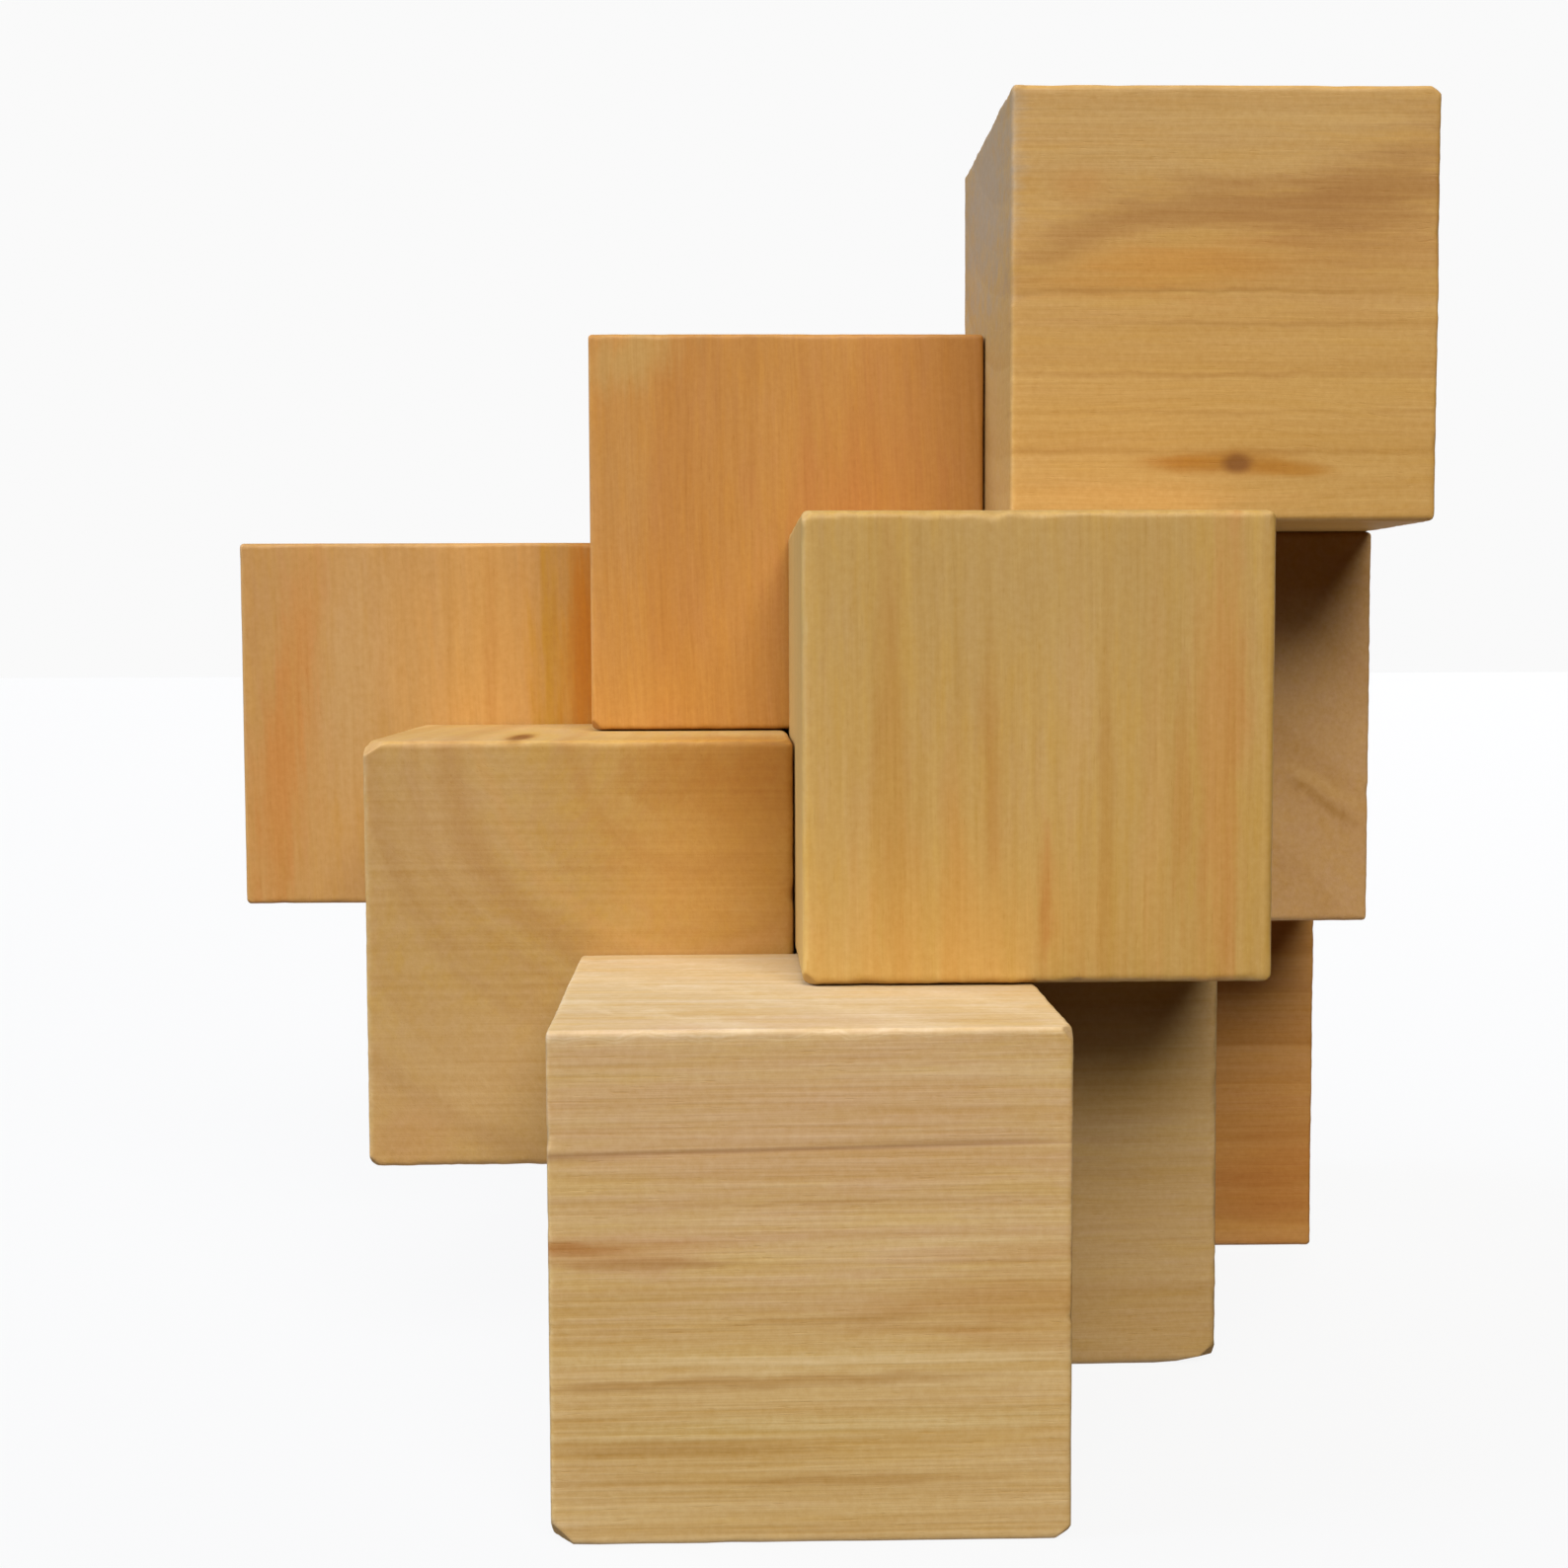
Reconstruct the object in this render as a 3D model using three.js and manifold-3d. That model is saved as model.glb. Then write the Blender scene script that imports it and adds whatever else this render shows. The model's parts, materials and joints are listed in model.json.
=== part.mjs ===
// Interlocking block puzzle: ten equal wooden cubes, each shifted by half a cube against its neighbours,
// glued and dowelled into three pieces that slide apart one after the other.
//
// Units are millimetres, +Z is up. The puzzle stands on the plane z = 0, and the origin is the middle of
// its bounding box on that plane. Before that shift, cells are counted from the front block's lowest left
// corner: x to the right, y away from the front, z up, in cube widths.

import * as THREE from 'three';
import { RoundedBoxGeometry } from 'three/addons/geometries/RoundedBoxGeometry.js';
import { mergeVertices } from 'three/addons/utils/BufferGeometryUtils.js';
import Module from 'manifold-3d';

// Driving dimensions
const CUBE = 30; // distance between neighbouring cube centres
const PILE_WIDTH = 3; // cells across the pile, the same in x and y
const FACE_INSET = 0.2; // a free face lies this far inside its cell, so that two free faces leave a gap
const EDGE_RADIUS = 0.8; // broken edges of every block
const EDGE_SEGMENTS = 2;

const DOWEL_RADIUS = 3;
const DOWEL_LENGTH = 18;
const DOWEL_CHAMFER = 0.8;
const HOLE_SIDE_CLEARANCE = 0.15;
const HOLE_END_CLEARANCE = 0.8; // room for glue at each end of a dowel
const ROUND_SEGMENTS = 32;

const LEFT_OF_FRONT_BLOCK = 1; // cells that the pile reaches past the front block's left side

const BEECH = 0xc9ab7d; // dowel stock

// Each piece lists its blocks, with the cell of each block's lowest left front corner, and the pairs of
// blocks that are glued face to face with a dowel between them.
const PIECES = [
  {
    name: 'stand',
    blocks: {
      front: { cell: [0, 0, 0], colour: 0xc79f69 },
      left: { cell: [-0.5, 1, 0.5], colour: 0xc4985c },
      rear: { cell: [0, 2, 0.5], colour: 0xbd9054 },
      right: { cell: [1, 2, 0], colour: 0xb87d40 },
    },
    glued: [['front', 'left'], ['left', 'rear'], ['rear', 'right']],
  },
  {
    name: 'bridge',
    blocks: {
      centre: { cell: [0.5, 0.5, 1], colour: 0xc19554 },
      upper: { cell: [0, 1.5, 1.5], colour: 0xc08343 },
      left: { cell: [-1, 2, 1], colour: 0xc18c50 },
    },
    glued: [['centre', 'upper'], ['upper', 'left']],
  },
  {
    name: 'key',
    blocks: {
      top: { cell: [1, 1, 2], colour: 0xc29351 },
      middle: { cell: [1, 1.5, 1], colour: 0xb08b5c },
      bottom: { cell: [0.5, 1, 0], colour: 0xb5905c },
    },
    glued: [['top', 'middle'], ['middle', 'bottom']],
  },
];

const WOOD_ROUGHNESS = 0.62;
const AXES = [new THREE.Vector3(1, 0, 0), new THREE.Vector3(0, 1, 0), new THREE.Vector3(0, 0, 1)];

const manifold = await Module();
manifold.setup();

function woodMesh(name, geometry, colour) {
  const material = new THREE.MeshStandardMaterial({
    color: colour,
    roughness: WOOD_ROUGHNESS,
    metalness: 0,
  });
  const mesh = new THREE.Mesh(geometry, material);
  mesh.name = name;
  return mesh;
}

// A closed three.js geometry as a solid that can be cut.
function solidFrom(geometry) {
  const bare = geometry.clone();
  bare.deleteAttribute('normal');
  bare.deleteAttribute('uv');
  const merged = mergeVertices(bare);
  return new manifold.Manifold(new manifold.Mesh({
    numProp: 3,
    vertProperties: new Float32Array(merged.attributes.position.array),
    triVerts: new Uint32Array(merged.index.array),
  }));
}

function geometryFrom(solid) {
  const { vertProperties, triVerts } = solid.getMesh();
  const geometry = new THREE.BufferGeometry();
  geometry.setAttribute('position', new THREE.BufferAttribute(vertProperties, 3));
  geometry.setIndex(new THREE.BufferAttribute(triVerts, 1));
  geometry.computeVertexNormals();
  return geometry;
}

function cellCentre(block) {
  return new THREE.Vector3(...block.cell).addScalar(0.5).multiplyScalar(CUBE);
}

// The glued joint between two blocks: its place is the middle of the faces' common patch, and its axis
// is the one along which the blocks lie side by side, a whole cube apart.
function glueJoint(first, second) {
  const centre = cellCentre(first).add(cellCentre(second)).divideScalar(2);
  const apart = [0, 1, 2].map((axis) => second.cell[axis] - first.cell[axis]);
  const axis = apart.findIndex((cells) => Math.abs(cells) === 1);
  return { first, second, centre, axis, direction: Math.sign(apart[axis]) };
}

// Which of a block's two faces along an axis are glued: -1 is the low face, 1 the high one.
function gluedSides(block, axis, joints) {
  return joints
    .filter((joint) => joint.axis === axis && (joint.first === block || joint.second === block))
    .map((joint) => (joint.first === block ? joint.direction : -joint.direction));
}

// Glued faces lie on the cell's wall and touch. Free faces are inset.
function blockExtent(block, joints) {
  const centre = cellCentre(block);
  const size = new THREE.Vector3();
  for (let axis = 0; axis < AXES.length; axis++) {
    const glued = gluedSides(block, axis, joints);
    const lowInset = glued.includes(-1) ? 0 : FACE_INSET;
    const highInset = glued.includes(1) ? 0 : FACE_INSET;
    size.setComponent(axis, CUBE - lowInset - highInset);
    centre.setComponent(axis, centre.getComponent(axis) + (lowInset - highInset) / 2);
  }
  return { centre, size };
}

// Turns a shape that was made along Y to lie along one of the three axes.
function alongAxis(geometry, axis) {
  const turn = new THREE.Quaternion().setFromUnitVectors(AXES[1], AXES[axis]);
  return geometry.applyQuaternion(turn);
}

function dowelHole(joint) {
  const radius = DOWEL_RADIUS + HOLE_SIDE_CLEARANCE;
  const length = DOWEL_LENGTH + 2 * HOLE_END_CLEARANCE;
  return alongAxis(new THREE.CylinderGeometry(radius, radius, length, ROUND_SEGMENTS), joint.axis);
}

function buildBlock(name, block, joints) {
  const { centre, size } = blockExtent(block, joints);
  let solid = solidFrom(new RoundedBoxGeometry(size.x, size.y, size.z, EDGE_SEGMENTS, EDGE_RADIUS));
  for (const joint of joints.filter(({ first, second }) => first === block || second === block)) {
    const place = joint.centre.clone().sub(centre);
    const hole = dowelHole(joint).translate(place.x, place.y, place.z);
    solid = solid.subtract(solidFrom(hole));
  }
  const mesh = woodMesh(name, geometryFrom(solid), block.colour);
  mesh.position.copy(centre);
  return mesh;
}

function buildDowel(name, joint) {
  const end = DOWEL_LENGTH / 2;
  const profile = [
    new THREE.Vector2(0, -end),
    new THREE.Vector2(DOWEL_RADIUS - DOWEL_CHAMFER, -end),
    new THREE.Vector2(DOWEL_RADIUS, -end + DOWEL_CHAMFER),
    new THREE.Vector2(DOWEL_RADIUS, end - DOWEL_CHAMFER),
    new THREE.Vector2(DOWEL_RADIUS - DOWEL_CHAMFER, end),
    new THREE.Vector2(0, end),
  ];
  const mesh = woodMesh(name, alongAxis(new THREE.LatheGeometry(profile, ROUND_SEGMENTS), joint.axis), BEECH);
  mesh.position.copy(joint.centre);
  return mesh;
}

function buildPiece({ name, blocks, glued }) {
  const piece = new THREE.Group();
  const joints = glued.map(([first, second]) => glueJoint(blocks[first], blocks[second]));
  for (const [place, block] of Object.entries(blocks)) {
    piece.add(buildBlock(`${name}_${place}_block`, block, joints));
  }
  joints.forEach((joint, index) => piece.add(buildDowel(`${name}_dowel_${index + 1}`, joint)));
  return piece;
}

const puzzle = new THREE.Group();
PIECES.forEach((piece) => puzzle.add(buildPiece(piece)));
puzzle.position.set(
  (LEFT_OF_FRONT_BLOCK - PILE_WIDTH / 2) * CUBE,
  (-PILE_WIDTH / 2) * CUBE,
  -FACE_INSET,
);

export default puzzle;
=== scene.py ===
import json
import math
import random

import bpy
import numpy as np
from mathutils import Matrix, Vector, noise


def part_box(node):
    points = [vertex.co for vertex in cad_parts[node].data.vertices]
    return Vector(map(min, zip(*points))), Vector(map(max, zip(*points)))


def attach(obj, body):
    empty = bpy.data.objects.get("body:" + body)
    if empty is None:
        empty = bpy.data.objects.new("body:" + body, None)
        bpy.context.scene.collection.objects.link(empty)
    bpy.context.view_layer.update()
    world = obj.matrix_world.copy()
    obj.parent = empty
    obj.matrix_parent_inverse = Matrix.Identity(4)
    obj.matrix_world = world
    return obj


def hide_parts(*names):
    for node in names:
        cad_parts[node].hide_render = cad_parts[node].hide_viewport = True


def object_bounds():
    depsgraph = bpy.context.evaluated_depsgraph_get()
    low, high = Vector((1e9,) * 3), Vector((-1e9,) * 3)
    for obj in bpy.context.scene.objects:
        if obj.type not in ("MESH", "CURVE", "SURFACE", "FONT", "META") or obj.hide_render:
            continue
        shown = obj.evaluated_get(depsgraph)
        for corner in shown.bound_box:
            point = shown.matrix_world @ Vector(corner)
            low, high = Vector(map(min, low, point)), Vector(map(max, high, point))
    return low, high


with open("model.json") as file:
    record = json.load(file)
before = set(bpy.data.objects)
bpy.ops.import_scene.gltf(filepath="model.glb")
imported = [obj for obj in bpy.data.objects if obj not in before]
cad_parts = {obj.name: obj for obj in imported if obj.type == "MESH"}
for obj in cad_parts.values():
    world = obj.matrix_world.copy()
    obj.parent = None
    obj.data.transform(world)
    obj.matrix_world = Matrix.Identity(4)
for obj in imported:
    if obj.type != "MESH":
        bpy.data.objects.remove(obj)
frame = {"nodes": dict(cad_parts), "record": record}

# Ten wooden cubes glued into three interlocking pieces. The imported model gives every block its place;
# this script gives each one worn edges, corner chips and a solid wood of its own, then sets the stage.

MM = 0.001
CAD_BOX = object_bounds()

SWELL = 0.14 * MM  # free faces fit a little closer than those of the CAD solids, which keep a wider gap

BODY_OF = {
    node: body
    for body, nodes in frame["record"]["behaviour"]["bodies"].items()
    for node in nodes
}
DOWELS = [node for node in frame["nodes"] if "_dowel_" in node]


# ---------------------------------------------------------------- the blocks
# Places on a block are millimetres from its centre: x right, y away from the front, z up.
# fibre      the axis the wood fibres run along
# pith       where the tree's middle lies, on the two axes across the fibres (the next two, in x y z order)
# ring       width of a growth ring, mm
# tilt       degrees the fibres lean, about each of those two axes
# wave       how far the rings wander, mm
# light, dark    early and late wood, sRGB 0-255
# contrast   how strongly rings, whole-ring tones, fibres, saw lines and drifts of hue show
# saw        the axis that the saw lines run along, where it isn't the fibres'
# torn       how ragged the patches' outlines are
# patches    soft coloured clouds, two of them painted light: centre, radii, colour, strength, lean in degrees about y
# arcs       curved bands, shells of ellipsoids: centre, radii, colour, strength, half width (1 = radius)
# knots      centre, radii of the eye, radii of the stained wood around it
# arris      how far the edges are rounded, mm
# corners    corners cut off: which corner, and how far along each edge
# grooves    saw lines: face axis and side, axis across the line, its place, depth
# nicks      dents in an edge: centre, radius, depth

BLOCKS = {
    "stand_front_block": dict(
        fibre="X", pith=(9, -62), ring=3.3, tilt=(1.1, 0.6), wave=0.7, arris=0.3,
        light=(192, 158, 104), dark=(177, 139, 83),
        contrast=dict(ring=0.30, tone=0.08, fibre=0.20, saw=0.48, hue=0.7),
        patches=[
            ((0, 0, 16), (40, 40, 2.4), (197, 173, 135), 0.75, 0),
            ((0, -15, 9), (30, 9, 12), (191, 152, 110), 0.60, 0),
            ((0, -15, -11), (30, 9, 11), (183, 148, 87), 0.50, 0),
            ((12, -15, -0.8), (10, 9, 4.0), (173, 128, 66), 0.65, -2),
            ((-12, -15, 2.0), (11, 9, 1.4), (182, 128, 76), 0.35, 1),
            ((-14, -15, 2.3), (5.5, 9, 0.55), (161, 105, 45), 0.70, 0),
            ((-8, -15, 1.5), (11, 9, 0.55), (156, 109, 49), 0.60, 0),
            ((2, -15, 5.0), (17, 9, 0.25), (159, 117, 59), 0.45, -1),
            ((6, -15, 2.6), (14, 9, 0.40), (208, 179, 128), 0.45, -1),
            ((-1, -15, -1.9), (12, 9, 0.35), (163, 120, 55), 0.45, -2),
            ((0, -15, -4.3), (30, 9, 1.3), (202, 173, 120), 0.65, 1),
            ((-4, -15, -5.4), (19, 9, 0.55), (158, 115, 53), 0.65, -1.5),
            ((0, -15, -8.0), (30, 9, 1.2), (200, 173, 118), 0.55, -1),
            ((-8, -15, -9.2), (14, 9, 0.7), (163, 122, 57), 0.50, 0),
            ((2, -15, -11.2), (20, 9, 0.4), (163, 122, 61), 0.50, -0.5),
        ],
        arcs=[
            ((-30, -34, 15), (33, 33, 0.9), (210, 185, 143), 0.35, 0.07),
            ((-30, -34, 15), (42, 42, 0.9), (212, 187, 145), 0.30, 0.06),
            ((-30, -34, 15), (50, 50, 0.9), (210, 185, 143), 0.25, 0.04),
        ],
        corners=[
            ((-1, -1, -1), (1.5, 2.0, 1.5)),
            ((1, -1, -1), (1.1, 1.4, 0.9)),
            ((1, -1, 1), (0.8, 1.0, 1.2)),
        ],
        grooves=[("Y", -1, "Z", 8.0, 0.04)],
    ),
    "stand_left_block": dict(
        fibre="Y", pith=(14, 6), ring=4.9, tilt=(1.5, 1.0), wave=3.0, arris=0.5, saw="X", torn=0.4,
        light=(188, 148, 81), dark=(177, 132, 67),
        contrast=dict(ring=0.30, tone=0.06, fibre=0.14, saw=0.32, hue=1.2),
        patches=[
            ((0, 0, 16), (40, 40, 1.6), (180, 146, 92), 0.70, 0),
            ((13, -15, 9), (20, 12, 22), (179, 122, 38), 0.80, 10),
            ((13, -15, 13), (12, 12, 6), (168, 106, 28), 0.65, 0),
            ((7, -15, 6), (7, 12, 6), (194, 142, 68), 0.45, 0),
            ((-11, -15, 9), (12, 12, 13), (190, 149, 95), 0.70, 0),
            ((-8, -15, -9), (18, 12, 13), (191, 152, 97), 0.80, 0),
            ((-12, -15, -13), (5, 12, 5), (190, 141, 86), 0.50, 0),
        ],
        arcs=[
            ((6, -15, 14), (14.8, 60, 14.8), (166, 114, 52), 0.36, 0.13),
            ((6, -15, 14), (17.6, 60, 17.6), (172, 124, 68), 0.22, 0.05),
            ((6, -15, 14), (20.6, 60, 20.6), (168, 122, 66), 0.24, 0.07),
            ((8, -15, 20), (15.5, 60, 20.0), (198, 147, 81), 0.30, 0.05),
            ((8, -15, 18), (9.0, 60, 12.0), (172, 116, 48), 0.25, 0.10),
            ((6, -15, 14), (29.6, 60, 29.6), (166, 123, 70), 0.26, 0.05),
        ],
        knots=[((-4.5, -9.5, 15), (1.1, 7.0, 1.2), (1.8, 9.0, 1.6))],
        corners=[((-1, -1, 1), (1.8, 2.2, 1.1)), ((-1, -1, -1), (0.9, 1.2, 0.9))],
        nicks=[((14.7, -14.8, 4), 1.0, 0.2), ((14.7, -14.8, -2.5), 1.2, 0.25)],
    ),
    "stand_rear_block": dict(
        fibre="Y", pith=(30, -22), ring=3.0, tilt=(1.0, 0.5), wave=2.0, arris=0.5,
        light=(192, 152, 92), dark=(170, 122, 68),
        contrast=dict(ring=0.45, tone=0.10, fibre=0.22, saw=0.20, hue=0.5),
        corners=[((-1, 1, -1), (1.6, 1.3, 1.2))],
    ),
    "stand_right_block": dict(
        fibre="X", pith=(20, 58), ring=3.6, tilt=(-0.8, 0.4), wave=1.0, arris=0.4,
        light=(181, 129, 66), dark=(163, 108, 44),
        contrast=dict(ring=0.50, tone=0.10, fibre=0.28, saw=0.26, hue=0.9),
        patches=[((12, -15, -9), (9, 10, 8), (162, 98, 29), 0.6, 0)],
        corners=[((1, 1, -1), (1.3, 2.2, 1.0))],
    ),
    "bridge_centre_block": dict(
        fibre="Z", pith=(-64, 12), ring=1.9, tilt=(0.3, 0.5), wave=0.8, arris=0.55,
        light=(182, 143, 75), dark=(172, 130, 61),
        contrast=dict(ring=0.16, tone=0.03, fibre=0.25, saw=0.14, hue=1.0),
        patches=[
            ((0, -15, 10), (20, 9, 12), (175, 140, 80), 0.55, 0),
            ((-3, -15, -12), (14, 9, 9), (189, 140, 63), 0.65, 0),
            ((11.4, -15, -2), (2.4, 9, 28), (186, 128, 58), 0.60, 0),
            ((12.4, -15, -3), (0.6, 9, 24), (174, 114, 44), 0.40, 0),
            ((-9.3, -15, 2), (1.6, 9, 22), (172, 122, 46), 0.60, 0.5),
            ((-5.4, -15, -9), (1.5, 9, 12), (184, 132, 58), 0.45, 0),
            ((-3.0, -15, -2), (1.1, 9, 12), (170, 118, 46), 0.60, 1),
            ((0.4, -15, -10), (0.9, 9, 8), (172, 110, 42), 0.70, 1),
            ((2.4, -15, 2), (1.6, 9, 14), (190, 150, 92), 0.45, 0),
            ((4.2, -15, -3), (0.8, 9, 20), (168, 120, 44), 0.55, 0),
            ((7.4, -15, -4), (1.2, 9, 18), (188, 142, 76), 0.40, 0),
            ((9.2, -15, -3), (1.0, 9, 9), (174, 118, 44), 0.50, 0),
        ],
        corners=[((-1, -1, 1), (0.9, 1.0, 0.9)), ((-1, -1, -1), (1.2, 1.1, 1.0))],
        nicks=[((2.6, -14.9, -14.9), 0.5, 0.2), ((-3.0, -14.9, 14.9), 0.9, 0.16)],
    ),
    "bridge_upper_block": dict(
        fibre="Z", pith=(12, 34), ring=3.8, tilt=(1.5, 2.5), wave=1.8, arris=0.35,
        light=(179, 124, 53), dark=(169, 106, 38),
        contrast=dict(ring=0.30, tone=0.06, fibre=0.32, saw=0.12, hue=1.1),
        patches=[
            ((-12, -15, 13), (7, 9, 3.5), (181, 143, 77), 0.70, -25),
            ((-13, -15, 4), (4, 9, 12), (172, 124, 61), 0.40, 0),
            ((4, -15, 0), (9, 9, 12), (174, 105, 37), 0.45, 12),
            ((-9, -15, -12), (9, 9, 5), (181, 126, 44), 0.50, 0),
        ],
        corners=[((-1, -1, -1), (0.9, 1.2, 0.9))],
    ),
    "bridge_left_block": dict(
        fibre="Z", pith=(-2, 46), ring=4.2, tilt=(3.0, 3.0), wave=1.0, arris=0.35,
        light=(180, 134, 73), dark=(165, 114, 55),
        contrast=dict(ring=0.25, tone=0.06, fibre=0.22, saw=0.10, hue=0.9),
        patches=[
            ((5, -15, 2), (12, 9, 24), (190, 139, 66), 0.80, 0),
            ((-6, -15, 4), (4.5, 9, 16), (184, 144, 88), 0.60, 6),
            ((-10.3, -15, 5), (2.8, 9, 20), (184, 120, 50), 0.65, 7),
            ((-12, -15, -6), (4.4, 9, 16), (184, 121, 52), 0.60, 7),
            ((2.3, -15, 5), (0.6, 9, 22), (163, 113, 46), 0.30, 0),
            ((5.7, -15, 5), (0.8, 9, 16), (170, 114, 46), 0.30, 0),
            ((12.4, -15, 5), (4.0, 9, 24), (184, 130, 30), 0.70, 0),
            ((10.4, -15, 5), (1.5, 9, 24), (174, 124, 12), 0.75, 0),
            # painted shadow: this dark-orange band is the shade that bridge_upper_block casts on this face,
            # painted into the wood's colour
            ((13.4, -15, 5), (2.4, 9, 24), (180, 108, 4), 0.90, 0),
        ],
        corners=[((-1, 1, 1), (1.4, 1.2, 1.0)), ((-1, -1, -1), (0.5, 0.7, 0.5))],
    ),
    "key_top_block": dict(
        fibre="X", pith=(-16, 48), ring=2.9, tilt=(-0.6, 1.0), wave=0.9, arris=0.4,
        light=(187, 143, 75), dark=(174, 126, 57),
        contrast=dict(ring=0.28, tone=0.06, fibre=0.15, saw=0.24, hue=0.8),
        patches=[
            ((0, -15, 12), (30, 8, 9), (184, 146, 86), 0.60, 0),
            ((0, -15, -8), (30, 8, 11), (190, 146, 73), 0.55, 0),
            ((8, -15, 4), (16, 8, 6), (176, 126, 60), 0.55, -4),
            ((-4, -15, 2.6), (12, 8, 3.4), (188, 130, 46), 0.70, -4),
            ((-0.5, -15, 6.6), (13, 8, 2.6), (156, 107, 45), 0.70, -3),
            ((11, -15, 8.2), (13, 8, 4.6), (155, 106, 45), 0.75, -20),
            ((-10, -15, 4.6), (9, 8, 1.9), (161, 113, 50), 0.60, -26),
            ((-10, -15, 8), (2.6, 8, 1.8), (182, 124, 50), 0.35, 0),
            ((0, -15, 0.9), (30, 8, 0.35), (156, 108, 40), 0.60, 0),
            ((0, -15, -1.3), (30, 8, 0.3), (162, 114, 48), 0.45, 0),
            ((0, -15, -4.8), (30, 8, 0.4), (164, 114, 46), 0.50, 0),
            ((0, -15, -7.4), (30, 8, 0.3), (166, 118, 50), 0.40, 0),
            ((0, -15, -10.1), (30, 8, 0.4), (162, 114, 44), 0.55, 0),
            ((-2.6, -15, -10.8), (5.4, 8, 0.9), (166, 104, 12), 0.90, -2),
            ((4.6, -15, -11.3), (4.8, 8, 0.8), (168, 110, 18), 0.80, 5),
            ((-4, -15, -13.2), (16, 8, 1.3), (198, 150, 79), 0.60, 0),
            # painted reflection: the grey over the upper left end face is a grazing sheen of the white
            # surroundings, painted into the colour
            ((-15, 0, 11), (1.5, 30, 14), (168, 143, 110), 0.80, 0),
        ],
        knots=[((0.9, -15, -10.9), (1.5, 3.0, 1.0), (7.0, 4.0, 1.4))],
        corners=[((-1, -1, -1), (1.0, 1.0, 0.9)), ((1, -1, 1), (0.9, 1.2, 0.7))],
    ),
    "key_middle_block": dict(
        fibre="Y", pith=(-52, -30), ring=7.0, tilt=(0.5, 1.0), wave=2.0, arris=0.4,
        light=(192, 148, 92), dark=(179, 132, 72),
        contrast=dict(ring=0.40, tone=0.06, fibre=0.14, saw=0.20, hue=0.7),
        patches=[
            ((11.5, -15, -4.6), (5.5, 9, 0.9), (202, 158, 92), 0.60, 31),
            ((12.0, -15, -6.2), (5.5, 9, 0.6), (161, 113, 45), 0.60, 33),
        ],
        corners=[((1, 1, -1), (1.2, 1.8, 1.4))],
    ),
    "key_bottom_block": dict(
        fibre="X", pith=(14, -48), ring=4.0, tilt=(0.8, 0.4), wave=1.2, arris=0.6,
        light=(177, 143, 91), dark=(166, 130, 76),
        contrast=dict(ring=0.30, tone=0.08, fibre=0.24, saw=0.20, hue=0.9),
        patches=[
            ((9, -15, 6), (8, 9, 6), (171, 132, 66), 0.55, 0),
            ((9, -15, -12), (9, 9, 4), (181, 145, 89), 0.40, 0),
        ],
        corners=[((1, -1, -1), (4.2, 2.4, 0.8)), ((1, -1, -1), (1.8, 1.6, 1.7))],
    ),
}

DOWEL_WOOD = dict(
    pith=(9, 7), ring=1.6, tilt=(0, 0), wave=0.6, light=(222, 190, 140), dark=(200, 162, 108),
    contrast=dict(ring=0.4, tone=0.1, fibre=0.3, saw=0.0, hue=0.3),
)


# ---------------------------------------------------------------- block meshes

FINE_STEP = 0.14  # mm between grid lines where the edges are rounded
FINE_BAND = 1.3  # mm of fine grid beside each edge
ACROSS_STEP = 0.45  # mm between the other grid lines, across the fibres
ALONG_STEP = 1.5  # and along them
EDGE_WAVE, EDGE_WAVE_PERIOD = 0.8, 6.0  # how unevenly the edges are rounded, and over how many mm
TEETH, TEETH_PERIOD = (0.8, 0.3), 0.8  # the same on a small scale, at the fibres' ends and elsewhere
ROUNDING_RANGE = (0.4, 1.8)  # least and most rounding, as shares of a block's arris
GROOVE_WIDTH = 0.12
GROOVE_SLANT = 0.02
CORNER_DIRT = 0.3
KNOT_DENT, KNOT_DENT_REACH, KNOT_DIRT = 0.12, 1.3, 0.6
SMALL_CHIPS = 26  # little random dents along a block's edges
CHIP_RADIUS = (0.3, 0.9)
CHIP_DEPTH = (0.03, 0.13)
HOLE_RADIUS = 3.15
HOLE_DEPTH = 9.8
HOLE_SIDES = 32
TOUCHING = 0.05 * MM  # faces nearer than this are glued
WEAR_REACH = 1.6  # mm from an edge over which the wood is polished and grubby
AXIS = {"X": 0, "Y": 1, "Z": 2}
ALONG = [(0, math.pi / 2, 0), (math.pi / 2, 0, 0), (0, 0, 0)]  # turns a cylinder along x, y or z


def grid_line(length, step, extra=()):
    """Places of the grid lines along one side of a block, from 0 to length."""
    fine = np.arange(0, FINE_BAND + FINE_STEP / 2, FINE_STEP)
    count = max(2, round((length - 2 * FINE_BAND) / step))
    middle = np.linspace(fine[-1], length - fine[-1], count + 1)
    return np.unique(np.round(np.concatenate([fine, middle, length - fine, extra]), 4))


def grid_shell(lines):
    """Points and quads of a box's six sides, gridded by three sets of lines."""
    index = np.zeros([len(line) for line in lines], int)
    shell = np.zeros(index.shape, bool)
    for axis in range(3):
        for side in (0, -1):
            shell[tuple(side if a == axis else slice(None) for a in range(3))] = True
    index[shell] = np.arange(shell.sum())
    places = np.nonzero(shell)
    points = np.column_stack([lines[a][places[a]] for a in range(3)])
    quads = []
    for axis in range(3):
        for side in (0, -1):
            sheet = np.take(index, side, axis)
            ring = [sheet[:-1, :-1], sheet[1:, :-1], sheet[1:, 1:], sheet[:-1, 1:]]
            if (side == -1) == (axis == 1):
                ring.reverse()
            quads.append(np.stack(ring, -1).reshape(-1, 4))
    return points, np.concatenate(quads)


def edge_distance(points, half):
    """How far each surface point is from the nearest edge of the box."""
    return np.sort(half - np.abs(points), axis=1)[:, 1]


def wobble(points, period, seed):
    """Smooth noise from -1 to 1 at each point, the same every run."""
    shift = Vector((seed * 7.3, seed * 3.1, seed * 5.7))
    return np.array([noise.noise(Vector(p) / period + shift) for p in points])


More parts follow.
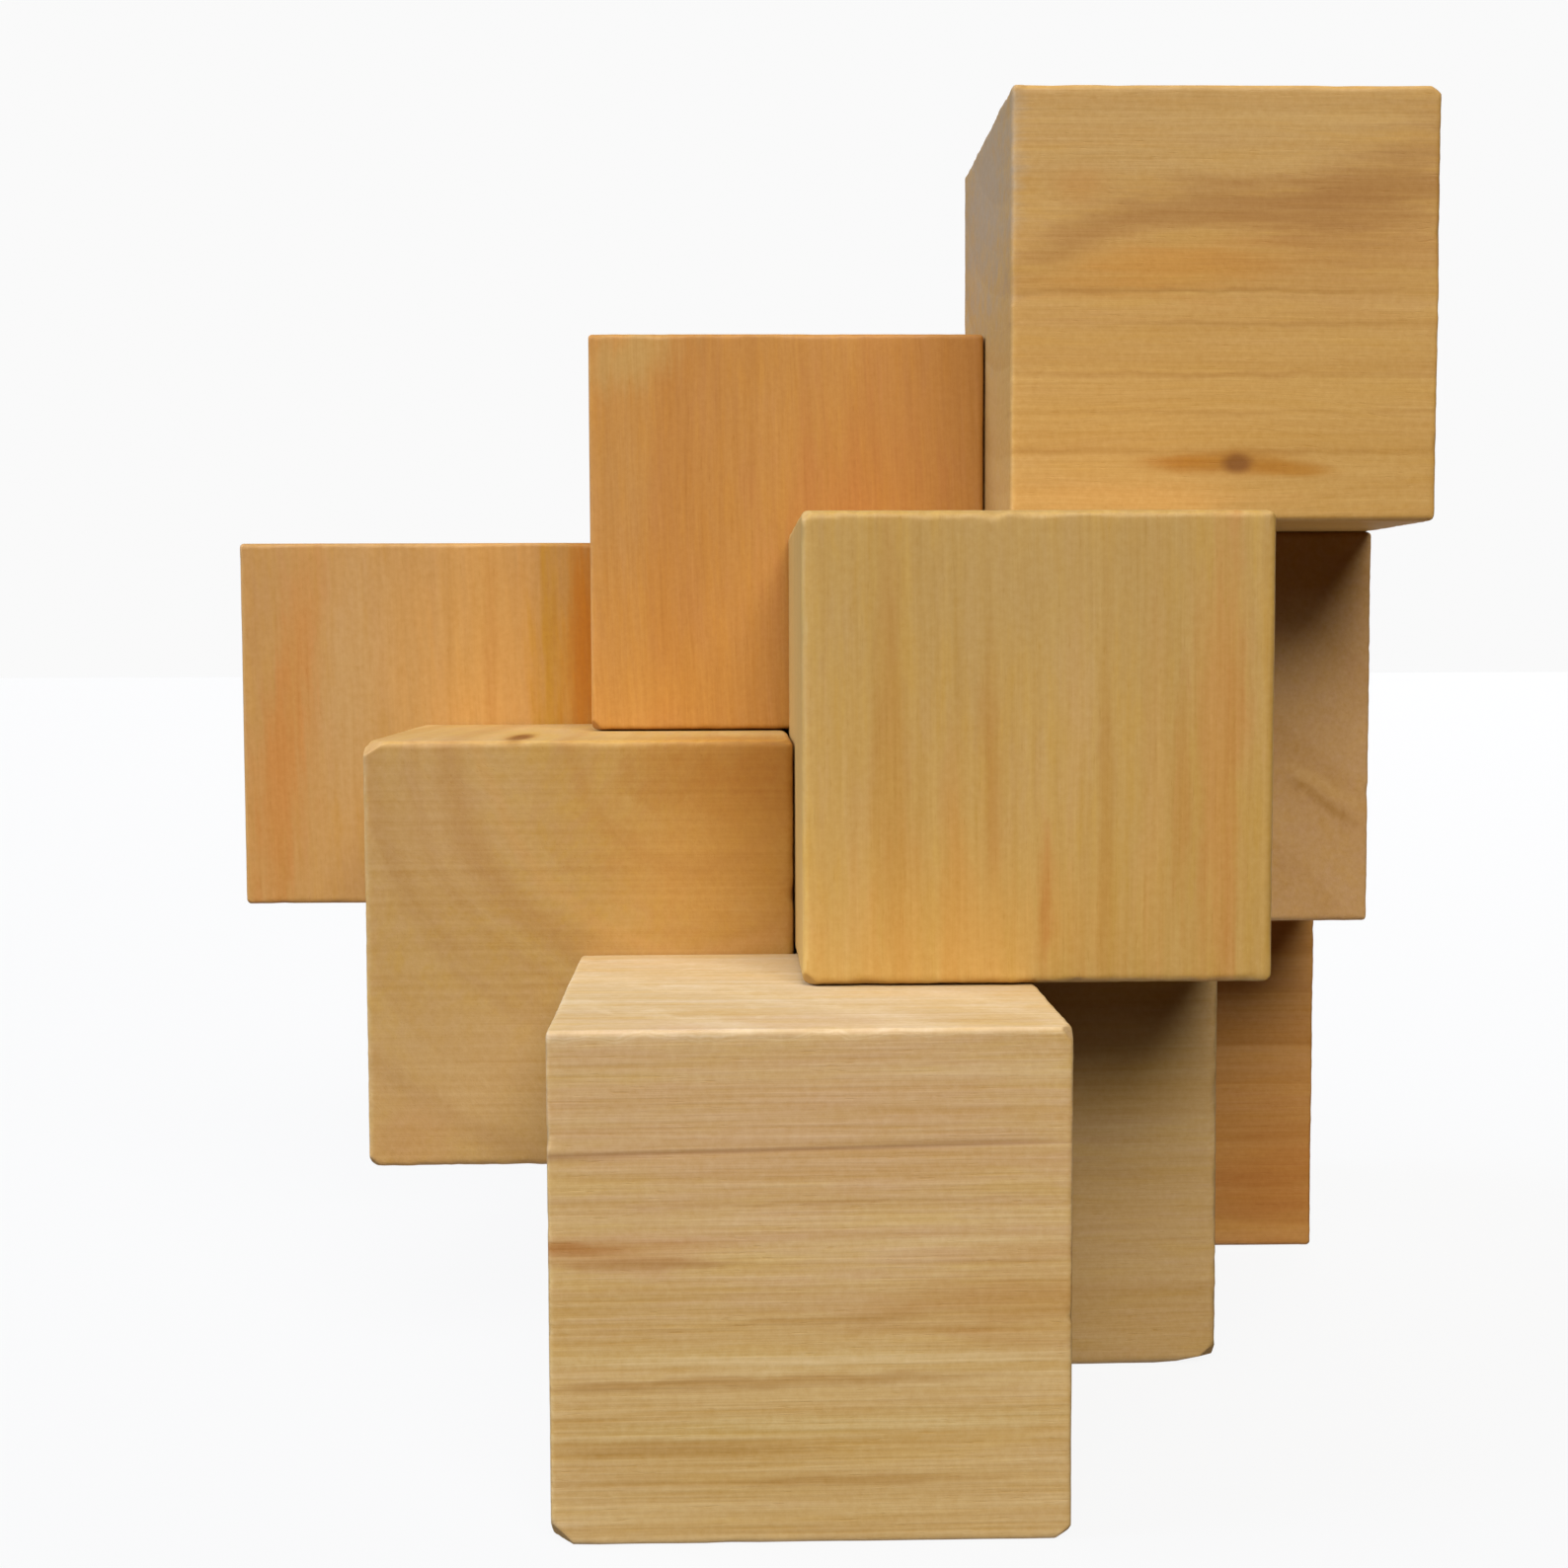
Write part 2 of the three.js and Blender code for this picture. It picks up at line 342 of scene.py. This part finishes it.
def round_edges(points, half, radius):
    """Moves the points of a box onto the box with rounded edges."""
    inner = np.clip(points, radius - half, half - radius)
    away = points - inner
    return inner + away / np.linalg.norm(away, axis=1, keepdims=True) * radius


def cut_corner(points, half, corner, legs):
    """Brings what lies past a plane across a corner back onto that plane."""
    normal = np.array(corner) / np.array(legs)
    normal /= np.linalg.norm(normal)
    on_plane = np.array(corner) * half - np.array([corner[0] * legs[0], 0, 0])
    past = np.maximum((points - on_plane) @ normal, 0)
    return points - past[:, None] * normal, past


def dent(points, centre, radius, depth):
    """Pushes points near a centre towards the block's middle."""
    centre = np.array(centre, float)
    near = np.clip(1 - np.sum((points - centre) ** 2, axis=1) / radius**2, 0, 1) ** 2
    inward = -centre / np.linalg.norm(centre)
    return points + (near * depth)[:, None] * inward, near


def random_edge_spot(rng, half):
    """A place on one of the twelve edges."""
    along = rng.randrange(3)
    return [
        rng.uniform(-h, h) if axis == along else rng.choice((-h, h))
        for axis, h in enumerate(half)
    ]


def random_chips(half, seed):
    """Centre, radius and depth of the small dents along a block's edges."""
    rng = random.Random(seed)
    return [
        (random_edge_spot(rng, half), rng.uniform(*CHIP_RADIUS), rng.uniform(*CHIP_DEPTH))
        for _ in range(SMALL_CHIPS)
    ]


def block_grid(look, half):
    """Points and quads of the plain box, with extra grid lines where a groove will be."""
    lines = []
    for axis, h in enumerate(half):
        extra = [
            h + place + offset * GROOVE_WIDTH
            for _, _, across, place, _ in look.get("grooves", []) if AXIS[across] == axis
            for offset in (-2, -1, 0, 1, 2)
        ]
        step = ALONG_STEP if axis == AXIS[look["fibre"]] else ACROSS_STEP
        lines.append(grid_line(2 * h, step, extra) - h)
    return grid_shell(lines)


def edge_radius(look, points, half, distance, seed):
    """How far the edges are rounded near each point, most unevenly at the fibres' ends."""
    fibre = AXIS[look["fibre"]]
    near = distance < 2 * FINE_BAND
    cut_ends = np.abs(points[near, fibre]) > half[fibre] - FINE_BAND
    teeth = np.where(cut_ends, *TEETH) * wobble(points[near], TEETH_PERIOD, seed + 1)
    wave = np.zeros(len(points))
    wave[near] = EDGE_WAVE * wobble(points[near], EDGE_WAVE_PERIOD, seed) + teeth
    return look["arris"] * np.clip(1 + 0.5 * wave, *ROUNDING_RANGE)


def cut_groove(shaped, points, half, fibre, groove):
    """Sinks a saw line into a face, in place, and returns how deep it is at each point, from 0 to 1."""
    face, side, across, place, depth = groove
    a, b = AXIS[face], AXIS[across]
    on_face = points[:, a] * side > half[a] - 1e-6
    line = place + GROOVE_SLANT * points[:, fibre]
    sunk = np.exp(-(((points[:, b] - line) / GROOVE_WIDTH) ** 2)) * on_face
    shaped[:, a] -= side * depth * sunk
    return sunk


def block_surface(look, half, seed):
    """Points, quads and the wear and dirt at each point, in mm about the block's centre."""
    points, quads = block_grid(look, half)
    distance = edge_distance(points, half)
    radius = edge_radius(look, points, half, distance, seed)
    shaped = round_edges(points, half, radius[:, None])
    dirt = np.zeros(len(points))
    for groove in look.get("grooves", []):
        dirt = np.maximum(dirt, cut_groove(shaped, points, half, AXIS[look["fibre"]], groove))
    for corner, legs in look.get("corners", []):
        shaped, past = cut_corner(shaped, half, corner, legs)
        dirt = np.maximum(dirt, np.clip(past, 0, CORNER_DIRT))
    for centre, size, depth in look.get("nicks", []) + random_chips(half, seed):
        shaped, _ = dent(shaped, centre, size, depth)
    for centre, eye, _ in look.get("knots", []):
        shaped, sunk = dent(shaped, centre, min(eye) * KNOT_DENT_REACH, KNOT_DENT)
        dirt = np.maximum(dirt, KNOT_DIRT * sunk)
    wear = np.clip(1 - distance / WEAR_REACH, 0, 1)
    return shaped, quads, wear, dirt


def drill(block, middle, axis):
    """Cuts a round hole into a block, along an axis and both ways from a middle."""
    bpy.ops.mesh.primitive_cylinder_add(
        vertices=HOLE_SIDES, radius=HOLE_RADIUS * MM, depth=2 * HOLE_DEPTH * MM, location=middle
    )
    bit = bpy.context.object
    bit.rotation_euler = ALONG[axis]
    cut = block.modifiers.new("hole", "BOOLEAN")
    cut.object, cut.operation, cut.solver = bit, "DIFFERENCE", "EXACT"
    bpy.context.view_layer.objects.active = block
    bpy.ops.object.modifier_apply(modifier=cut.name)
    bpy.data.objects.remove(bit)


def cut_dowel_holes(block, node):
    """Drills the blind holes for the dowels that reach into this block."""
    low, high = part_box(node)
    for dowel in DOWELS:
        dowel_low, dowel_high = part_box(dowel)
        middle, size = (dowel_low + dowel_high) / 2, dowel_high - dowel_low
        reaches_in = all(low[a] - MM < middle[a] < high[a] + MM for a in range(3))
        if BODY_OF[dowel] == BODY_OF[node] and reaches_in:
            drill(block, middle, max(range(3), key=lambda a: size[a]))


def is_glued(node, axis, side):
    """Whether a block of the same piece touches this face. Side is 0 for the low face, 1 for the high."""
    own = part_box(node)
    for other in BLOCKS:
        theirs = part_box(other)
        same_piece = BODY_OF[other] == BODY_OF[node] and other != node
        touching = abs(own[side][axis] - theirs[1 - side][axis]) < TOUCHING
        facing = all(
            own[0][a] < theirs[1][a] - MM and theirs[0][a] < own[1][a] - MM
            for a in range(3) if a != axis
        )
        if same_piece and touching and facing:
            return True
    return False


def snug_box(node):
    """A block's lowest and highest corners, nearer its neighbours but never past the whole puzzle."""
    low, high = (np.array(corner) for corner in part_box(node))
    low -= [0 if is_glued(node, axis, 0) else SWELL for axis in range(3)]
    high += [0 if is_glued(node, axis, 1) else SWELL for axis in range(3)]
    return np.maximum(low, CAD_BOX[0]), np.minimum(high, CAD_BOX[1])


def build_block(node, look, seed):
    """Makes the detailed block that stands for a CAD block, with its holes and its wood."""
    low, high = snug_box(node)
    centre, half = (low + high) / 2, (high - low) / 2 / MM
    points, quads, wear, dirt = block_surface(look, half, seed)

    mesh = bpy.data.meshes.new(node + "_mesh")
    mesh.from_pydata((points * MM + centre).tolist(), [], quads.tolist())
    for name, values in (("wear", wear), ("dirt", dirt)):
        mesh.attributes.new(name, "FLOAT", "POINT").data.foreach_set("value", values)
    mesh.shade_smooth()
    block = bpy.data.objects.new(node.replace("_block", "_cube"), mesh)
    bpy.context.scene.collection.objects.link(block)
    cut_dowel_holes(block, node)

    mesh.materials.append(wood(node + "_wood", centre, seed, **look))
    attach(block, BODY_OF[node])
    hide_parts(node)
    return block


# ---------------------------------------------------------------- solid wood

DEEPENING = (0.65, 1.05, 2.2)  # how far darker grain changes red, green and blue
YELLOWER = (1.01, 0.98, 0.70, 1)  # the two ways in which the wood's hue drifts
PINKER = (1.0, 1.0, 1.26, 1)
GRIME = (132, 84, 42)
STAIN, KNOT = (164, 106, 10), (122, 72, 6)
GRIT = 0.28  # strength of the fine speckle
PORE_DARKNESS = 0.07
END_GRAIN_DARKNESS = 0.14
EDGE_POLISH = 0.06  # how much paler rubbed edges are
BUMP_STRENGTH = 0.26
BUMP_HEIGHT = 0.08 * MM
HALF = (0.5, 0.5, 0.5)  # the middle of a noise colour
SEED_STEPS = (17.0, 29.0, 11.0)  # how far apart the noise of two blocks is taken


def linear(colour):
    """An sRGB 0-255 colour as the linear colour that shaders use."""
    parts = [c / 255 for c in colour]
    return [c / 12.92 if c <= 0.04045 else ((c + 0.055) / 1.055) ** 2.4 for c in parts] + [1.0]


class Shader:
    """Adds nodes to a material. An input may be a socket or a value."""

    def __init__(self, name):
        self.material = bpy.data.materials.new(name)
        self.material.use_nodes = True
        self.tree = self.material.node_tree
        self.principled = self.tree.nodes["Principled BSDF"]

    def add(self, kind, inputs, out=0, **settings):
        node = self.tree.nodes.new("ShaderNode" + kind)
        for key, value in settings.items():
            setattr(node, key, value)
        for key, value in inputs.items():
            self.put(node, key, value)
        return node.outputs[out]

    def put(self, node, key, value):
        if isinstance(value, bpy.types.NodeSocket):
            self.tree.links.new(value, node.inputs[key])
        else:
            node.inputs[key].default_value = value

    def math(self, operation, a, b=0.0, c=0.0, clamp=False):
        return self.add("Math", {0: a, 1: b, 2: c}, operation=operation, use_clamp=clamp)

    def vector(self, operation, a, b=(0, 0, 0), out=0):
        return self.add("VectorMath", {0: a, 1: b}, out=out, operation=operation)

    def scaled(self, vector, factor):
        return self.add("VectorMath", {0: vector, 3: factor}, operation="SCALE")

    def noise(self, vector, scale, detail=2.0, roughness=0.5, out=0):
        inputs = {"Vector": vector, "Scale": scale, "Detail": detail, "Roughness": roughness}
        return self.add("TexNoise", inputs, out=out)

    def drift(self, vector, scale, detail, reach):
        """A smooth random shift of place, up to about half of reach each way."""
        colour = self.noise(vector, scale, detail, out=1)
        return self.scaled(self.vector("SUBTRACT", colour, HALF), reach)

    def spread(self, value, low, high, to_low=0.0, to_high=1.0):
        inputs = {0: value, 1: low, 2: high, 3: to_low, 4: to_high}
        return self.add("MapRange", inputs, interpolation_type="SMOOTHSTEP")

    def mix(self, factor, a, b, blend="MIX"):
        return self.add("Mix", {0: factor, 6: a, 7: b}, out=2, data_type="RGBA", blend_type=blend)


def inside_ellipsoid(s, place, centre, radii, lean=0.0, soft=1.0, ragged=0.0):
    """1 deep inside an ellipsoid and 0 from its surface outwards. Ragged moves that surface."""
    turn = (0, math.radians(lean), 0)
    inputs = {"Vector": place, "Location": centre, "Rotation": turn, "Scale": radii}
    local = s.add("Mapping", inputs, vector_type="TEXTURE")
    away = s.math("ADD", s.vector("LENGTH", local, out=1), ragged)
    return s.spread(away, 1.0, 1.0 - soft)


def on_ellipsoid(s, place, centre, radii, width):
    """1 on the surface of an ellipsoid, fading to 0 at a share of its radius inwards and outwards."""
    inputs = {"Vector": place, "Location": centre, "Scale": radii}
    local = s.add("Mapping", inputs, vector_type="TEXTURE")
    off = s.math("SUBTRACT", s.vector("LENGTH", local, out=1), 1.0)
    return s.spread(s.math("ABSOLUTE", off), width, 0.0)


def grain_order(fibre):
    """The axes in the grain's order: the two across the fibres, then the one along them."""
    first = (AXIS[fibre] + 1) % 3
    return [first, (first + 1) % 3, AXIS[fibre]]


def grain_frame(s, place, order, tilt):
    """Places measured across, across and along the fibres, which lean a little."""
    split = s.tree.nodes.new("ShaderNodeSeparateXYZ")
    s.put(split, 0, place)
    crossed = s.add("CombineXYZ", {i: split.outputs[axis] for i, axis in enumerate(order)})
    lean = {"Vector": crossed, "Rotation": (math.radians(tilt[0]), math.radians(tilt[1]), 0)}
    return s.add("Mapping", lean, vector_type="POINT")


def part_around_knots(s, grain, order, knots):
    """Fibres part around a knot."""
    for centre, eye, _ in knots:
        middle = tuple(centre[axis] for axis in order)
        reach = tuple(max(eye) * factor for factor in (2.2, 2.2, 5.0))
        towards = s.vector("SUBTRACT", grain, middle)
        pull = s.math("MULTIPLY", inside_ellipsoid(s, grain, middle, reach), 0.55)
        grain = s.vector("SUBTRACT", grain, s.scaled(towards, pull))
    return grain


def bend_grain(s, grain, shift, wave):
    """Slow noise bends the fibres and the rings together."""
    slow = s.vector("MULTIPLY", s.vector("ADD", grain, shift), (1, 1, 0.2))
    bend = s.drift(slow, 0.05, 2, 2.5 * wave)
    ripple = s.drift(slow, 0.45, 2, 0.25 * wave)
    return s.vector("ADD", s.vector("ADD", grain, bend), ripple)


def growth_rings(s, bent, pith, ring):
    """How much a point is late wood, and the tone of its whole ring, from -0.5 to 0.5."""
    across = s.vector("MULTIPLY", s.vector("SUBTRACT", bent, (pith[0], pith[1], 0)), (1, 1, 0))
    rings = s.math("DIVIDE", s.vector("LENGTH", across, out=1), ring)
    uneven = s.add("TexNoise", {"W": rings, "Scale": 0.35, "Detail": 1}, noise_dimensions="1D")
    rings = s.math("ADD", rings, s.math("MULTIPLY", uneven, 1.6))
    phase = s.math("FRACT", rings)
    late = s.math("MULTIPLY", s.spread(phase, 0.2, 0.92), s.spread(phase, 1.0, 0.93))
    tone = s.add("TexWhiteNoise", {"W": s.math("FLOOR", rings)}, noise_dimensions="1D")
    return late, s.math("SUBTRACT", tone, 0.5)


def surface_marks(s, place, bent, shift, saw_axis):
    """Noise for the wood's marks, about -0.5 to 0.5. Fibres follow the rings and saw lines are straight."""

    def streaks(source, per_mm, stretch, detail):
        stretched = s.vector("MULTIPLY", s.vector("ADD", source, shift), stretch)
        return s.math("SUBTRACT", s.noise(stretched, per_mm, detail, 0.7), 0.5)

    straight = tuple(0.012 if axis == saw_axis else 1.0 for axis in range(3))
    return dict(
        broad=streaks(bent, 0.55, (1, 1, 0.05), 2),
        fine=streaks(bent, 2.8, (1, 1, 0.032), 3),
        pores=s.spread(streaks(bent, 6.0, (1, 1, 0.11), 1), 0.16, 0.26),
        hue=streaks(bent, 0.8, (1, 1, 0.14), 3),
        cuts=streaks(place, 2.6, straight, 2),
        grit=streaks(place, 2.0, (1, 1, 1), 2),
    )


def end_grain_share(s, normal, fibre):
    """1 on the faces across the fibres and 0 on the others."""
    along = tuple(1.0 if axis == AXIS[fibre] else 0.0 for axis in range(3))
    facing = s.vector("DOT_PRODUCT", normal, along, out=1)
    return s.spread(s.math("ABSOLUTE", facing), 0.55, 0.9)


def drift_hue(s, colour, hue, strength):
    """Slow changes towards yellow and towards pink."""
    for far, tint in ((0.16, YELLOWER), (-0.16, PINKER)):
        share = s.spread(hue, 0.0, far, 0.0, 0.5 * strength)
        colour = s.mix(share, colour, s.mix(1.0, colour, tint, "MULTIPLY"))
    return colour


def wood_marks_and_painted_light(s, colour, place, ragged, patches, arcs, knots):
    """Clouds, bands and knots that one block has and another hasn't. Two clouds are painted light, not
    wood: a painted shadow on bridge_left_block and a painted grey sheen on key_top_block's left face.
    """
    wavy = s.drift(place, 0.35, 3, 1.6)
    loose = s.vector("ADD", place, s.scaled(wavy, 0.4))
    # most clouds are the wood's own colour; one is a painted shadow and one a painted sheen
    for where, radii, tint, strength, lean in patches:
        shape = inside_ellipsoid(s, loose, where, radii, lean, ragged=ragged)
        colour = s.mix(s.math("MULTIPLY", shape, strength), colour, linear(tint))
    for where, radii, tint, strength, width in arcs:
        shape = on_ellipsoid(s, s.vector("ADD", place, wavy), where, radii, width)
        colour = s.mix(s.math("MULTIPLY", shape, strength), colour, linear(tint))
    for where, eye, around in knots:
        stained = inside_ellipsoid(s, loose, where, around)
        colour = s.mix(s.math("MULTIPLY", stained, 0.85), colour, linear(STAIN))
        core = inside_ellipsoid(s, place, where, eye, soft=0.7)
        colour = s.mix(s.math("MULTIPLY", core, 0.90), colour, linear(KNOT))
    return colour


def deepen(s, colour, tone, marks, contrast):
    """Darker grain is also deeper in colour: its blue part changes most and its red part least."""
    depth = s.math("MULTIPLY", tone, contrast["tone"])
    depth = s.math("MULTIPLY_ADD", marks["broad"], 0.5 * contrast["fibre"], depth)
    depth = s.math("MULTIPLY_ADD", marks["fine"], 1.3 * contrast["fibre"], depth)
    depth = s.math("MULTIPLY_ADD", marks["cuts"], contrast["saw"], depth)
    depth = s.math("MULTIPLY_ADD", marks["grit"], GRIT, depth)
    depth = s.math("MULTIPLY_ADD", marks["pores"], -PORE_DARKNESS, depth)
    return s.vector("MULTIPLY", colour, s.vector("ADD", s.scaled(DEEPENING, depth), (1, 1, 1)))


def relief(s, late, marks, saw_strength):
    """The bump of fibres, saw lines, rings, pores and grit."""
    cuts = s.math("MULTIPLY", marks["cuts"], 2.5 * saw_strength)
    height = s.math("MULTIPLY_ADD", marks["fine"], 0.8, cuts)
    height = s.math("MULTIPLY_ADD", late, 0.10, height)
    height = s.math("MULTIPLY_ADD", marks["pores"], -0.35, height)
    height = s.math("MULTIPLY_ADD", marks["grit"], 0.35, height)
    return s.add("Bump", {"Strength": BUMP_STRENGTH, "Distance": BUMP_HEIGHT, "Height": height})


def wood(name, centre, seed, fibre, pith, ring, tilt, wave, light, dark, contrast,
         saw="", torn=1.3, patches=(), arcs=(), knots=(), **_shape):
    """Solid wood: the same growth rings and fibres run right through a block, so that its faces agree."""
    s = Shader(name)
    coordinates = s.tree.nodes.new("ShaderNodeTexCoord")
    place = s.scaled(s.vector("SUBTRACT", coordinates.outputs["Object"], tuple(centre)), 1 / MM)
    shift = tuple(seed * step for step in SEED_STEPS)
    order = grain_order(fibre)
    grain = part_around_knots(s, grain_frame(s, place, order, tilt), order, knots)
    bent = bend_grain(s, grain, shift, wave)
    late, tone = growth_rings(s, bent, pith, ring)
    marks = surface_marks(s, place, bent, shift, AXIS[saw or fibre])
    end_grain = end_grain_share(s, coordinates.outputs["Normal"], fibre)

    colour = s.mix(s.math("MULTIPLY", late, contrast["ring"]), linear(light), linear(dark))
    colour = drift_hue(s, colour, marks["hue"], contrast["hue"])
    ragged = s.math("MULTIPLY", s.math("ADD", marks["hue"], marks["broad"]), torn)
    colour = wood_marks_and_painted_light(s, colour, place, ragged, patches, arcs, knots)
    colour = deepen(s, colour, tone, marks, contrast)

    # Handling: pale rubbed edges, grime in the grooves
    wear = s.add("Attribute", {}, out=2, attribute_name="wear")
    dirt = s.add("Attribute", {}, out=2, attribute_name="dirt")
    rubbed = s.math("MULTIPLY", wear, s.spread(s.noise(place, 0.5, 3), 0.35, 0.65))
    shade = s.math("MULTIPLY_ADD", end_grain, -END_GRAIN_DARKNESS, 1.0)
    shade = s.math("MULTIPLY_ADD", rubbed, EDGE_POLISH, shade)
    grime = s.math("MULTIPLY", dirt, 0.5, clamp=True)
    colour = s.mix(grime, s.scaled(colour, shade), linear(GRIME))

    rough = s.math("MULTIPLY_ADD", marks["fine"], 0.35, 0.62)
    rough = s.math("MULTIPLY_ADD", rubbed, -0.10, rough)
    s.put(s.principled, "Base Color", colour)
    s.put(s.principled, "Specular IOR Level", 0.35)
    s.put(s.principled, "Roughness", s.math("MULTIPLY_ADD", end_grain, 0.12, rough, clamp=True))
    s.put(s.principled, "Normal", relief(s, late, marks, contrast["saw"]))
    return s.material


# ---------------------------------------------------------------- build the puzzle

FIRST_DOWEL_SEED = 31


def dress_dowel(node, seed):
    """Gives a dowel's CAD mesh its wood, with the fibres along the dowel."""
    low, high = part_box(node)
    longest = max("XYZ", key=lambda axis: (high - low)[AXIS[axis]])
    material = wood(node + "_wood", (low + high) / 2, seed, fibre=longest, **DOWEL_WOOD)
    frame["nodes"][node].material_slots[0].material = material


for number, (node_name, node_look) in enumerate(BLOCKS.items(), start=1):
    build_block(node_name, node_look, number)

for number, node_name in enumerate(sorted(DOWELS), start=FIRST_DOWEL_SEED):
    dress_dowel(node_name, number)


# ---------------------------------------------------------------- stage, light and camera

FLOOR_SIZE = 6.0
FLOOR_GLOW = 0.902  # the floor's own light, which with the lamps' makes it as bright as the backdrop
BACKDROP = 0.955  # linear brightness of the white surroundings, as the camera sees them
AMBIENT_ABOVE = 0.006  # of the same surroundings, as light on the wood
AMBIENT_BELOW = 0.10
AMBIENT_HEIGHTS = (-0.45, -1.0)  # the slopes down which the one fades into the other
AMBIENT_COLOUR = (1.0, 0.47, 0.28, 1)

# Far, wide lamps: direction from the puzzle, apparent width in degrees, strength, colour
LAMPS = {
    "key": ((0.11, -0.70, 0.70), 40, 1.02, (1.0, 0.99, 0.96)),
    "front_fill": ((-0.24, -0.80, 0.56), 40, 0.28, (1, 1, 1)),
    "left": ((-0.82, 0.0, 0.57), 40, 1.50, (0.55, 0.67, 0.92)),
    "back_fill": ((0.35, 1.0, 0.30), 60, 0.40, (1, 1, 1)),
    "table_glow": ((0, 0, -1), 24, 0.32, (1, 1, 1)),  # what the pale table throws back
}

CAMERA_PLACE = (-0.0045, -0.1664, 0.0517)
CAMERA_TURN = (86.2, 0.2, -1.45)  # degrees about x, y and z
CAMERA_LENS, CAMERA_SENSOR = 50.0, 36.0


def pale_floor():
    """A floor that looks white but throws no light or shadow on the wood."""
    bpy.ops.mesh.primitive_plane_add(size=FLOOR_SIZE, location=(0, 0, 0))
    floor = bpy.context.object
    floor.name = "floor"
    s = Shader("pale_floor")
    s.put(s.principled, "Base Color", (0.03, 0.03, 0.03, 1))
    s.put(s.principled, "Roughness", 0.9)
    s.put(s.principled, "Specular IOR Level", 0.1)
    s.put(s.principled, "Emission Color", (1, 1, 1, 1))
    s.put(s.principled, "Emission Strength", FLOOR_GLOW)
    floor.data.materials.append(s.material)
    floor.visible_diffuse = False
    floor.visible_glossy = False
    floor.visible_shadow = False


def surroundings():
    """White to the camera. The wood gets a little light from above and more from the pale table below."""
    world = bpy.data.worlds.new("studio")
    bpy.context.scene.world = world
    world.use_nodes = True
    nodes, links = world.node_tree.nodes, world.node_tree.links
    nodes.clear()
    seen, lit = nodes.new("ShaderNodeBackground"), nodes.new("ShaderNodeBackground")
    seen.inputs["Color"].default_value = (1, 1, 1, 1)
    seen.inputs["Strength"].default_value = BACKDROP
    lit.inputs["Color"].default_value = AMBIENT_COLOUR
    around, height = nodes.new("ShaderNodeTexCoord"), nodes.new("ShaderNodeSeparateXYZ")
    links.new(around.outputs["Generated"], height.inputs[0])
    fade = nodes.new("ShaderNodeMapRange")
    fade.interpolation_type = "SMOOTHSTEP"
    for key, value in enumerate((*AMBIENT_HEIGHTS, AMBIENT_ABOVE, AMBIENT_BELOW), start=1):
        fade.inputs[key].default_value = value
    links.new(height.outputs["Z"], fade.inputs[0])
    links.new(fade.outputs[0], lit.inputs["Strength"])
    path, chosen = nodes.new("ShaderNodeLightPath"), nodes.new("ShaderNodeMixShader")
    links.new(path.outputs["Is Camera Ray"], chosen.inputs[0])
    links.new(lit.outputs[0], chosen.inputs[1])
    links.new(seen.outputs[0], chosen.inputs[2])
    links.new(chosen.outputs[0], nodes.new("ShaderNodeOutputWorld").inputs["Surface"])


def soft_light(name, direction, spread, strength, colour):
    """A lamp whose strength is what it adds to a white surface that faces it."""
    lamp = bpy.data.lights.new(name, "SUN")
    lamp.angle, lamp.energy, lamp.color = math.radians(spread), strength * math.pi, colour
    light = bpy.data.objects.new(name, lamp)
    bpy.context.scene.collection.objects.link(light)
    light.rotation_euler = Vector(direction).to_track_quat("Z", "Y").to_euler()


def close_camera():
    """As near to the puzzle as the reference view, which makes the front blocks much larger."""
    eye = bpy.data.cameras.new("camera")
    eye.lens, eye.sensor_width = CAMERA_LENS, CAMERA_SENSOR
    eye.clip_start = 0.005
    camera = bpy.data.objects.new("camera", eye)
    camera.location = CAMERA_PLACE
    camera.rotation_euler = [math.radians(angle) for angle in CAMERA_TURN]
    bpy.context.scene.collection.objects.link(camera)
    bpy.context.scene.camera = camera


pale_floor()
surroundings()
for lamp_name, lamp_settings in LAMPS.items():
    soft_light(lamp_name, *lamp_settings)
close_camera()
bpy.context.scene.view_settings.view_transform = "Standard"
